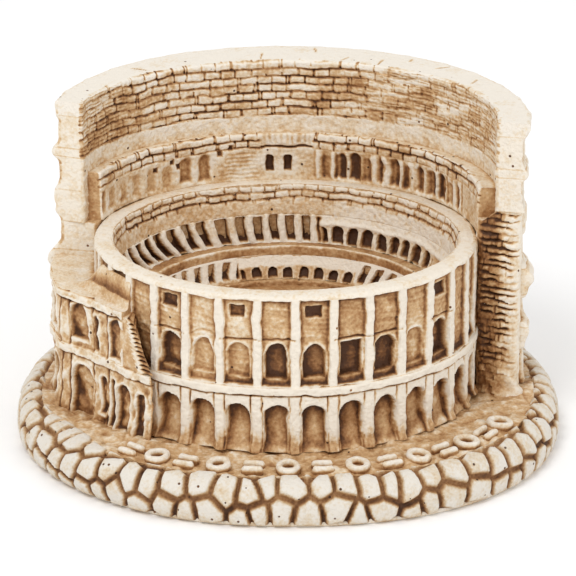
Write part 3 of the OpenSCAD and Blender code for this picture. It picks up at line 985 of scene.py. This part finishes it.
def left_relief(s, z):
    """Two storeys of odd arches and slots between worn pilasters."""
    rugged = wobble(1.2 * s + 0.7 * z, 2.2, 155) + wobble(1.1 * z - 0.6 * s, 1.6, 156)
    fine = wobble(1.4 * s - 0.9 * z, 0.8, 157) + wobble(z + 0.5 * s, 0.9, 158)
    height = 0.28 * rugged + 0.11 * fine
    stain = 0.32 - 0.10 * rugged - 0.09 * fine + 0.08 * wobble(s + z, 1.6, 149)
    for number, (at, width, foot, crown, depth, dark) in enumerate(LOWER_HOLLOWS + UPPER_HOLLOWS):
        bent = s - at + 0.1 * wobble(z, 2.5, 150 + number)
        shape = np.minimum(arch_depth(bent, z, width, crown), z - foot)
        inside = cut(shape, 0.2)
        edge = hump(shape, -0.45, 0.3)
        height = height - depth * inside + 0.18 * edge
        # painted shadow: each hollow is darker on its left side and towards its crown, as if lit from the
        # top left
        stain = stain + inside * (dark + 0.22 * smooth(0.25, -0.25, (s - at) / width + 0.12)) - 0.16 * edge
        stain = stain + 0.16 * inside * smooth(crown - 3.0, crown - 0.6, z)
    band = between(z, STRING, PANELS, 0.2)
    cornice = between(z, LEFT_TOP - 1.6, LEFT_TOP, 0.2)
    shaft = 1 - np.maximum(band, cornice)
    for at in LEFT_GROOVES:
        height = height - 0.4 * hump(s, at, 0.22) * shaft
        stain = stain + 0.35 * hump(s, at, 0.25) * shaft
    height = height + 0.45 * band + 0.35 * cornice - 0.25 * hump(z, STRING - 0.1, 0.2)
    height = height - 0.3 * hump(z, LEFT_TOP - 1.8, 0.2)
    stain = stain + 0.25 * hump(z, LEFT_TOP - 1.8, 0.25) + 0.2 * hump(z, STRING - 0.1, 0.22) - 0.20 * band
    stain = stain - 0.16 * cornice
    ground = 1 - smooth(GROUND, GROUND + 3.2, z + 0.6 * wobble(s, 1.8, 151))
    return height + 0.5 * ground, stain + 0.26 * ground + 0.05 * wobble(s + 2 * z, 2.6, 152)


def terrace_top(p, share):
    scuff = grain(p, 2.6, 153) + 0.5 * grain(p, 0.9, 154)
    bank = smooth(-5.0, -10.0, p[..., 1])
    rise = 4.9 * bank * smooth(0.45, 0.97, share) * (p[..., 2] > LEFT_TOP - 1)
    crease = hump(share, 0.72, 0.05) * bank
    stain = 0.12 + 0.09 * scuff + 0.35 * smooth(0.80, 0.97, share) * (1 - bank) + 0.5 * crease
    stain = stain + 0.16 * bank * smooth(0.3, 0.7, share)
    return rise - 0.8 * crease + 0.14 * scuff, stain


def left_ruin():
    start = oval_path(WALL_OUT, LEFT_END - 1.5, LEFT_END, 3)
    tall = curve_through([tuple(start[1])] + list(LEFT_FACE), 0.2, 1.4)
    wide = curve_through([tuple(start[1])] + list(LEFT_FACE) + [LEFT_TIP], 0.2, 1.4)
    for node, outline, angle in (("left_lower_storey", wide, LEFT_TIP_ANGLE),
                                 ("left_string_course", wide, LEFT_TIP_ANGLE),
                                 ("left_upper_storey", tall, LEFT_HIGH_ANGLE),
                                 ("left_terrace", tall, LEFT_HIGH_ANGLE)):
        z0, z1 = low_of(node)[2], high_of(node)[2]
        if z0 == GROUND:
            z0 -= 0.6
        z = np.linspace(z0, z1, max(4, int((z1 - z0) / 0.2)))[None] + 0 * outline[:, :1]
        back = oval_path(grown(RING_OUT, -0.3), LEFT_END - 1.5, angle, len(outline))
        is_top = node == "left_terrace"
        piece = block(node + "_cast", path_face(outline, z, 1, left_relief, 0.35),
                      path_face(back, z, -1, plain), across=40 if is_top else 14, end_wash=0.3,
                      lid=None if node == "left_lower_storey" else terrace_top)
        hand_over(piece, "cream_cast", node)


def broken_edge():
    """The upper storey's torn end: each course reaches less far than the one below."""
    node = "left_broken_edge"
    z0, z1 = low_of(node)[2], high_of(node)[2]
    z = np.linspace(z0 - 0.1, z1 + 0.1, 150)
    course = (z1 - z0) / 12
    row = (z - z0) / course
    own = dice(np.floor(row), np.floor(row) * 0 + 164) - 0.5
    tooth = smooth(0.1, 0.32, row % 1) * (1 - smooth(0.72, 0.95, row % 1))
    reach = 1.02 - 0.051 * row + 0.09 * (tooth - 0.5) + 0.07 * own
    root, tip = np.array(LEFT_FACE[-1]), np.array(LEFT_TIP)
    root = root - (tip - root) * 0.12
    u = np.linspace(0, 1, 60)[:, None]
    flat = root + (tip - root) * (u * reach[None])[..., None]
    outer = np.concatenate([flat, z[None, :, None] + 0 * flat[..., :1]], -1)
    rib = between(u, 0.52, 0.74, 0.06)
    teeth = smooth(0.76, 0.82, u) * (1 - tooth[None])
    push = 0.12 * grain(outer, 1.0, 161) + 0.12 * grain(outer, 2.4, 162) + 0.05 + 0.35 * rib - 0.5 * teeth
    outer[..., 1] -= push
    wash = 0.36 - 0.30 * rib + 0.14 * smooth(0.76, 0.82, u) + 0.35 * teeth + 0.2 * grain(outer, 1.0, 163)
    back = oval_path(grown(RING_OUT, -0.3), LEFT_HIGH_ANGLE - 1.5, LEFT_HIGH_ANGLE + 5.5, 2)
    flat = back[0] + (back[1] - back[0]) * (u * reach[None])[..., None]
    inner = np.concatenate([flat, outer[..., 2:]], -1)

    # The torn end face is darkened all over as painted shade, with a darker stripe along each course
    def torn(cap):
        level = (cap[..., 2] - z0) / course
        return 0.42 + 0.45 * (1 - smooth(0.0, 0.22, np.abs(level % 1 - 0.5) * 2 - 0.3))

    piece = block(node + "_cast", (outer, wash + 0 * outer[..., 0]), (inner, 0.4 + 0 * inner[..., 0]),
                  across=20, end_wash=torn)
    hand_over(piece, "cream_cast", node)


left_ruin()
broken_edge()


# ---------------------------------------------------------------- base

KERB_INSET = 5.2            # how far in the cobbles reach on top
KERB_FOOT = 0.3             # height at which the cobbles start
COBBLE = 4.3                # about how wide a stone is
TUCK_TOP = 4.8              # height up to which the foot is drawn in
LIP = high_of("base_lip")[2]
BASE_T = np.linspace(-180, 180, 1001)[:-1]


def tucked(t):
    """How far the foot of the base is drawn in: most round the front left."""
    return 0.75 + 1.3 * hump(t, -48, 26)


def spread(t):
    """How much wider the cobbled border is at the left, past the last mark."""
    return 1 + 0.5 * hump(t, -59, 13)


def base_length():
    x, y = on_base(np.append(BASE_T, 180), 1.5)
    return np.concatenate([[0], np.cumsum(np.hypot(np.diff(x), np.diff(y)))])


def cobbles(s, q, length, size, seed):
    """Distance from each point to the nearest joint between rough polygons, and a random
    number for each stone. s runs round the base and q across the kerb."""
    count = int(round(length / size))
    u, v = s / length * count, q / (1.3 * size)
    cu, cv = np.floor(u), np.floor(v)

    def site(i, j):
        wrapped = i % count
        return (i + 0.5 + 0.62 * (dice(wrapped, j + 50, i * 0 + seed) - 0.5) + 0.25 * (j % 2),
                j + 0.5 + 0.55 * (dice(wrapped, j + 50, i * 0 + seed + 1) - 0.5))

    around = [(i, j) for i in (-2, -1, 0, 1, 2) for j in (-2, -1, 0, 1, 2)]
    best = np.full(u.shape, 9e9)
    nearest = [u * 0, u * 0, u * 0, u * 0]
    for i, j in around:
        px, py = site(cu + i, cv + j)
        d = (px - u) ** 2 + (py - v) ** 2
        closer = d < best
        best = np.where(closer, d, best)
        for n, value in enumerate((px, py, (cu + i) % count, cv + j)):
            nearest[n] = np.where(closer, value, nearest[n])
    joint = np.full(u.shape, 9e9)
    for i, j in around:
        px, py = site(cu + i, cv + j)
        dx, dy = px - nearest[0], py - nearest[1]
        gap = np.hypot(dx, dy)
        mid = ((px + nearest[0]) / 2 - u) * dx + ((py + nearest[1]) / 2 - v) * dy
        joint = np.where(gap > 1e-6, np.minimum(joint, mid / np.maximum(gap, 1e-6)), joint)
    return joint * size, dice(nearest[2], nearest[3] + 50, nearest[2] * 0 + seed + 2)


def kerb_face():
    """The cobbled kerb, from the lip up the side, over the shoulder and in across the top."""
    length = base_length()
    turn = np.radians(np.linspace(0, 90, 52))
    power = 2 / 2.7
    inset = 0.25 + (KERB_INSET - 0.25) * (1 - np.cos(turn) ** power)
    z = KERB_FOOT + (GROUND - KERB_FOOT) * np.sin(turn) ** power
    q = np.concatenate([[0], np.cumsum(np.hypot(np.diff(inset), np.diff(z)))])
    even = np.linspace(0, q[-1], 45)
    inset, z = np.interp(even, q, inset), np.interp(even, q, z)
    T, Q = np.meshgrid(BASE_T, even, indexing="ij")
    S = np.interp(T, np.append(BASE_T, 180), length)
    x, y = on_base(T, inset[None] * spread(T) + tucked(T) * np.clip(1 - z[None] / TUCK_TOP, 0, 1) ** 2)
    flat = np.stack([x, y, z[None] + 0 * T], -1)
    joint, luck = cobbles(S + 0.35 * grain(flat, 3.0, 101),
                          Q * spread(T) + 1.2 + 0.3 * grain(flat, 3.0, 102), length[-1], COBBLE, 7)
    stone = smooth(0.14, 0.72, joint)
    edge = smooth(-0.3, 0.5, Q) * smooth(even[-1] + 0.2, even[-1] - 0.8, Q)
    height = (0.95 * stone + 0.22 * (luck - 0.5) * stone) * edge - 0.55
    height += 0.06 * grain(flat, 1.3, 103) + 0.03 * grain(flat, 0.6, 104)
    side = np.gradient(inset, even), np.gradient(z, even)
    out = np.stack(on_base(T, 0.0), -1) / np.array([BASE_HALF[0], BASE_HALF[1]]) ** 2
    out /= np.linalg.norm(out, axis=-1, keepdims=True)
    points = flat.copy()
    points[..., :2] += out * (height * side[1][None])[..., None]
    points[..., 2] += height * side[0][None]
    dark = 0.18 * smooth(-0.3, 0.5, grain(flat, 9.0, 105)) + 0.20 * smooth(5.5, 2.0, flat[..., 2])
    wash = 0.60 * (1 - smooth(0.18, 0.66, joint)) + dark * (1 - stone) + 0.04
    wash = wash + stone * (0.09 * grain(flat, 1.6, 107) + 0.12 * np.clip(grain(flat, 5.0, 108), 0, 1))
    return points, wash + 0.10 * grain(flat, 2.5, 106) * (1 - stone)


def kerb():
    points, wash = kerb_face()
    x, y = on_base(BASE_T, KERB_INSET * spread(BASE_T) + 1.2)
    n = points.shape[1]
    back = np.stack([x[:, None] + np.zeros(n), y[:, None] + np.zeros(n),
                     np.linspace(KERB_FOOT, GROUND - 0.5, n)[None] + 0 * x[:, None]], -1)
    piece = block("cobbled_kerb", (points, wash), (back, back[..., 0] * 0 + 0.5), across=4, wrap=True)
    hand_over(piece, "cobbles", "kerb_lower_course", "kerb_upper_course")


def foot():
    """The smooth foot under the cobbles."""
    turn = np.radians(np.linspace(0, 90, 6))
    inset = np.concatenate([[BASE_HALF[0], 30.0, 8.0], 0.5 * (1 - np.sin(turn)),
                            0.55 * (1 - np.cos(turn)), [8.0, 30.0, BASE_HALF[0]]])
    z = np.concatenate([[0, 0, 0], 0.5 * (1 - np.cos(turn)), LIP - 0.55 * (1 - np.sin(turn)), [LIP] * 3])
    T, I = np.meshgrid(BASE_T, inset, indexing="ij")
    share = 1 - I / BASE_HALF[0]
    x, y = on_base(T, 0.0)
    edge = I < 2
    bx, by = on_base(T, I + 0.3 + tucked(T))
    loop = np.stack([np.where(edge, bx, x * share), np.where(edge, by, y * share), z[None] + 0 * T], -1)
    loop[..., 2] += np.where(z[None] > 0.3, 0.10 * grain(loop, 5.0, 111), 0)
    wash = 0.03 + 0.10 * grain(loop, 3.0, 112) + 0.14 * (I > 2)
    hand_over(turned("base_foot", loop, wash), "white_edges", "base_lip")


def paving():
    """Rough and brown between the kerb and the walls, and solid down to the foot."""
    share = np.concatenate([np.linspace(1, 0.66, 46), [0.5, 0.3, 0.0]])
    x, y = on_base(BASE_T, KERB_INSET - 0.5)
    top = np.stack([x[:, None] * share, y[:, None] * share, GROUND + 0 * x[:, None] * share], -1)
    height = 0.32 * grain(top, 4.0, 121) + 0.28 * grain(top, 1.6, 122) + 0.12 * grain(top, 0.7, 123)
    creases = np.abs(grain(top, 4.5, 124))
    height = height - 0.16 * (1 - smooth(0.0, 0.14, creases))
    top[..., 2] += height - 0.25
    stain = 0.31 + 0.7 * hollow(height, 0.3, 0.3, True) + 0.14 * grain(top, 4.0, 125)
    stain = stain + 0.13 * grain(top, 0.9, 126)
    side = np.stack([top[:, :1, 0], top[:, :1, 1], 0 * top[:, :1, 0] + LIP - 0.1], -1)
    below = side[..., 0] * 0 + 0.4
    loop = np.concatenate([side * np.array([0, 0, 1]), side, top], 1)
    wash = np.concatenate([below, below, stain], 1)
    hand_over(turned("forecourt_paving", loop, wash), "tan_ground", "forecourt", "base_core")


kerb()
foot()
paving()


# ---------------------------------------------------------------- raised rings and bars

def tube(path, closed, radius, lift):
    """A flattened, rounded moulding along a path on the paving."""
    n = len(path)
    step = np.roll(path, -1, 0) - np.roll(path, 1, 0)
    if not closed:
        step[0], step[-1] = path[1] - path[0], path[-1] - path[-2]
    step /= np.linalg.norm(step, axis=1, keepdims=True)
    side = np.stack([-step[:, 1], step[:, 0]], -1)
    a = np.radians(np.arange(0, 360, 22.5))
    sx = np.sign(np.cos(a)) * np.abs(np.cos(a)) ** 0.7 * radius
    sz = np.sign(np.sin(a)) * np.abs(np.sin(a)) ** 0.7 * lift
    taper = np.ones(n)
    if not closed:
        d = np.minimum(np.arange(n), n - 1 - np.arange(n)) / 3.0
        taper = np.sqrt(1 - np.clip(1 - d, 0, 0.93) ** 2)
    p = np.zeros((n, len(a), 3))
    p[..., :2] = path[:, None] + side[:, None] * sx[None, :, None] * taper[:, None, None]
    p[..., 2] = GROUND + sz[None] * taper[:, None]
    return p


MARK_PITCH = 8.0            # degrees from one mark to the next
MARK_INSET = 7.6            # how far in from the base's edge the marks lie
RING_HALF = (1.55, 1.9)
BAR_HALF = 1.9
BARS_AT = (-1.2, 1.1)


def mark_paths():
    """Centre lines of the marks: a ring, then two bars, in turn along the paving."""
    for k in range(-5, 9):
        t = MARK_PITCH * k - 1.2 * np.sign(k)
        place = np.array([float(v) for v in on_base(np.array(t), MARK_INSET)])
        r = math.radians(t)
        turn = np.array([[math.cos(r), math.sin(r)], [-math.sin(r), math.cos(r)]])
        if k % 2 == 0:
            a = np.radians(np.arange(0, 360, 9))
            yield np.stack([RING_HALF[0] * np.cos(a), RING_HALF[1] * np.sin(a)], -1) @ turn + place, True
        else:
            for across in BARS_AT:
                bar = np.stack([np.linspace(-BAR_HALF, BAR_HALF, 24), np.full(24, across)], -1)
                yield bar @ turn + place, False


def relief_marks():
    """Plain rings and pairs of bars in turn along the front of the paving."""
    points, washes, faces, tris, start = [], [], [], [], 0
    for path, closed in mark_paths():
        p = tube(path, closed, 0.6, 0.95)
        p += 0.09 * np.stack([grain(p, 1.0, 131 + i) for i in range(3)], -1)
        index = start + np.arange(p.shape[0] * p.shape[1]).reshape(p.shape[:2])
        ring = np.concatenate([index, index[:, :1]], 1)
        faces.append(quads(ring, wrap=closed, flip=True))
        start += index.size
        points.append(p.reshape(-1, 3))
        stain = 0.5 * smooth(0.45, 0.1, p[..., 2] - GROUND) + 0.08 + 0.12 * grain(p, 1.2, 135)
        washes.append(stain.ravel())
        if not closed:
            points.append(np.array([p[0].mean(0), p[-1].mean(0)]))
            washes.append(np.array([0.2, 0.2]))
            for row, tip, flip in ((0, start, False), (-1, start + 1, True)):
                a, b = index[row], np.roll(index[row], -1)
                order = (a * 0 + tip, b, a) if flip else (a * 0 + tip, a, b)
                tris.append(np.stack(order, -1))
            start += 2
    marks = make("forecourt_marks", np.concatenate(points), np.concatenate(washes), np.concatenate(faces),
                 np.concatenate(tris))
    hand_over(marks, "white_edges", "forecourt_relief")


relief_marks()


# ---------------------------------------------------------------- material

PIT_RADIUS = 0.24
# The casting's colour at each amount of wash
WASH_COLOURS = ((0.0, (0.83, 0.78, 0.70)), (0.16, (0.76, 0.645, 0.485)), (0.34, (0.61, 0.41, 0.22)),
                (0.56, (0.40, 0.21, 0.085)), (0.78, (0.205, 0.085, 0.026)), (1.0, (0.075, 0.028, 0.009)))


def cast_stone(name, shift, tints, pit_spacing):
    """Cream cast stone with a brown wash in its hollows and dark air-bubble pits. shift adds
    wash everywhere, tints scale the red, green and blue, and pits lie pit_spacing mm apart."""
    material = bpy.data.materials.new(name)
    material.use_nodes = True
    nodes, links = material.node_tree.nodes, material.node_tree.links
    shader = nodes["Principled BSDF"]

    def math_node(kind, a, b):
        node = nodes.new("ShaderNodeMath")
        node.operation = kind
        for socket, value in zip(node.inputs, (a, b)):
            if isinstance(value, (int, float)):
                socket.default_value = value
            else:
                links.new(value, socket)
        return node.outputs[0]

    def noise(scale, detail):
        node = nodes.new("ShaderNodeTexNoise")
        node.inputs["Scale"].default_value = scale
        node.inputs["Detail"].default_value = detail
        links.new(place.outputs["Object"], node.inputs["Vector"])
        return node.outputs["Fac"]

    place = nodes.new("ShaderNodeTexCoord")
    wash = nodes.new("ShaderNodeAttribute")
    wash.attribute_name = "wash"
    corner = nodes.new("ShaderNodeAmbientOcclusion")
    corner.samples = 6
    corner.inputs["Distance"].default_value = 2.2 * MM
    closed = math_node("SUBTRACT", 1.0, corner.outputs["AO"])
    amount = math_node("ADD", wash.outputs["Fac"], math_node("MULTIPLY", closed, 0.24))
    cloudy = math_node("MULTIPLY", math_node("SUBTRACT", noise(260.0, 4.0), 0.5), 0.40)
    speckle = math_node("MULTIPLY", math_node("SUBTRACT", noise(1900.0, 4.0), 0.5), 0.50)
    amount = math_node("ADD", amount, math_node("ADD", cloudy, speckle))
    amount = math_node("ADD", amount, shift)

    holes = nodes.new("ShaderNodeTexVoronoi")
    holes.inputs["Scale"].default_value = 1 / (pit_spacing * MM)
    holes.inputs["Randomness"].default_value = 1.0
    links.new(place.outputs["Object"], holes.inputs["Vector"])
    tiny = math_node("LESS_THAN", holes.outputs["Distance"], PIT_RADIUS / pit_spacing)
    amount = math_node("ADD", amount, math_node("MULTIPLY", tiny, 0.9))

    ramp = nodes.new("ShaderNodeValToRGB")
    while len(ramp.color_ramp.elements) < len(WASH_COLOURS):
        ramp.color_ramp.elements.new(0.5)
    for element, (position, colour) in zip(ramp.color_ramp.elements, WASH_COLOURS):
        element.position = position
        element.color = (*(part * tint for part, tint in zip(colour, tints)), 1.0)
    links.new(amount, ramp.inputs["Fac"])
    links.new(ramp.outputs["Color"], shader.inputs["Base Color"])

    rough = math_node("ADD", math_node("MULTIPLY", noise(500.0, 3.0), 0.22), 0.52)
    links.new(rough, shader.inputs["Roughness"])
    shader.inputs["Specular IOR Level"].default_value = 0.35
    bump = nodes.new("ShaderNodeBump")
    bump.inputs["Strength"].default_value = 0.75
    bump.inputs["Distance"].default_value = 0.45 * MM
    links.new(math_node("ADD", noise(1500.0, 5.0), math_node("MULTIPLY", tiny, -1.0)), bump.inputs["Height"])
    links.new(bump.outputs["Normal"], shader.inputs["Normal"])
    return material


FINISHES = {"cream_cast": cast_stone("cream_cast_stone", 0.0, (0.985, 0.95, 0.90), 3.8),
            "white_edges": cast_stone("white_edge_stone", -0.04, (0.985, 0.965, 0.94), 3.3),
            "tan_ground": cast_stone("tan_ground_stone", 0.02, (1.0, 0.97, 0.93), 4.3),
            "cobbles": cast_stone("cobble_stone", -0.02, (0.87, 0.86, 0.85), 2.6)}
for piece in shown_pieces():
    piece.data.materials.clear()
    piece.data.materials.append(FINISHES[piece.get("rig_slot", "cream_cast")])


# ---------------------------------------------------------------- floor, light, camera

def stage_floor():
    mesh = bpy.data.meshes.new("studio_floor")
    reach = 6.0
    mesh.from_pydata([(-reach, -reach, 0), (reach, -reach, 0), (reach, reach, 0), (-reach, reach, 0)], [],
                     [(0, 1, 2, 3)])
    floor = bpy.data.objects.new("studio_floor", mesh)
    bpy.context.scene.collection.objects.link(floor)
    material = bpy.data.materials.new("pale_floor")
    material.use_nodes = True
    shader = material.node_tree.nodes["Principled BSDF"]
    shader.inputs["Base Color"].default_value = (0.98, 0.98, 0.98, 1)
    shader.inputs["Roughness"].default_value = 0.9
    mesh.materials.append(material)


def area_light(name, place, aim, size, power):
    light = bpy.data.lights.new(name, "AREA")
    light.shape = "DISK"
    light.size = size
    light.energy = power
    lamp = bpy.data.objects.new(name, light)
    lamp.location = place
    lamp.rotation_euler = (Vector(aim) - Vector(place)).to_track_quat("-Z", "Y").to_euler()
    bpy.context.scene.collection.objects.link(lamp)


stage_floor()
area_light("key_light", (-0.25, -0.45, 0.75), (0, 0, 0.02), 0.35, 2.4)
area_light("fill_light", (0.6, -0.5, 0.45), (0, 0, 0.03), 0.6, 0.8)

world = bpy.data.worlds.new("studio")
world.use_nodes = True
sky = world.node_tree.nodes["Background"]
sky.inputs["Color"].default_value = (1.0, 1.0, 1.0, 1)
sky.inputs["Strength"].default_value = 0.86
bpy.context.scene.world = world
bpy.context.scene.view_settings.view_transform = "Standard"

PITCH = math.radians(22.35)  # how far down the camera looks
REACH = 0.6264              # from the camera to the point that it looks at, in metres
AIM = Vector((0, 0, 0.0268))
camera_data = bpy.data.cameras.new("camera")
camera_data.sensor_width = 36
camera_data.lens = 218.75
camera = bpy.data.objects.new("camera", camera_data)
camera.location = AIM + Vector((0, -math.cos(PITCH), math.sin(PITCH))) * REACH
camera.rotation_euler = (math.pi / 2 - PITCH, 0, 0)
bpy.context.scene.collection.objects.link(camera)
bpy.context.scene.camera = camera
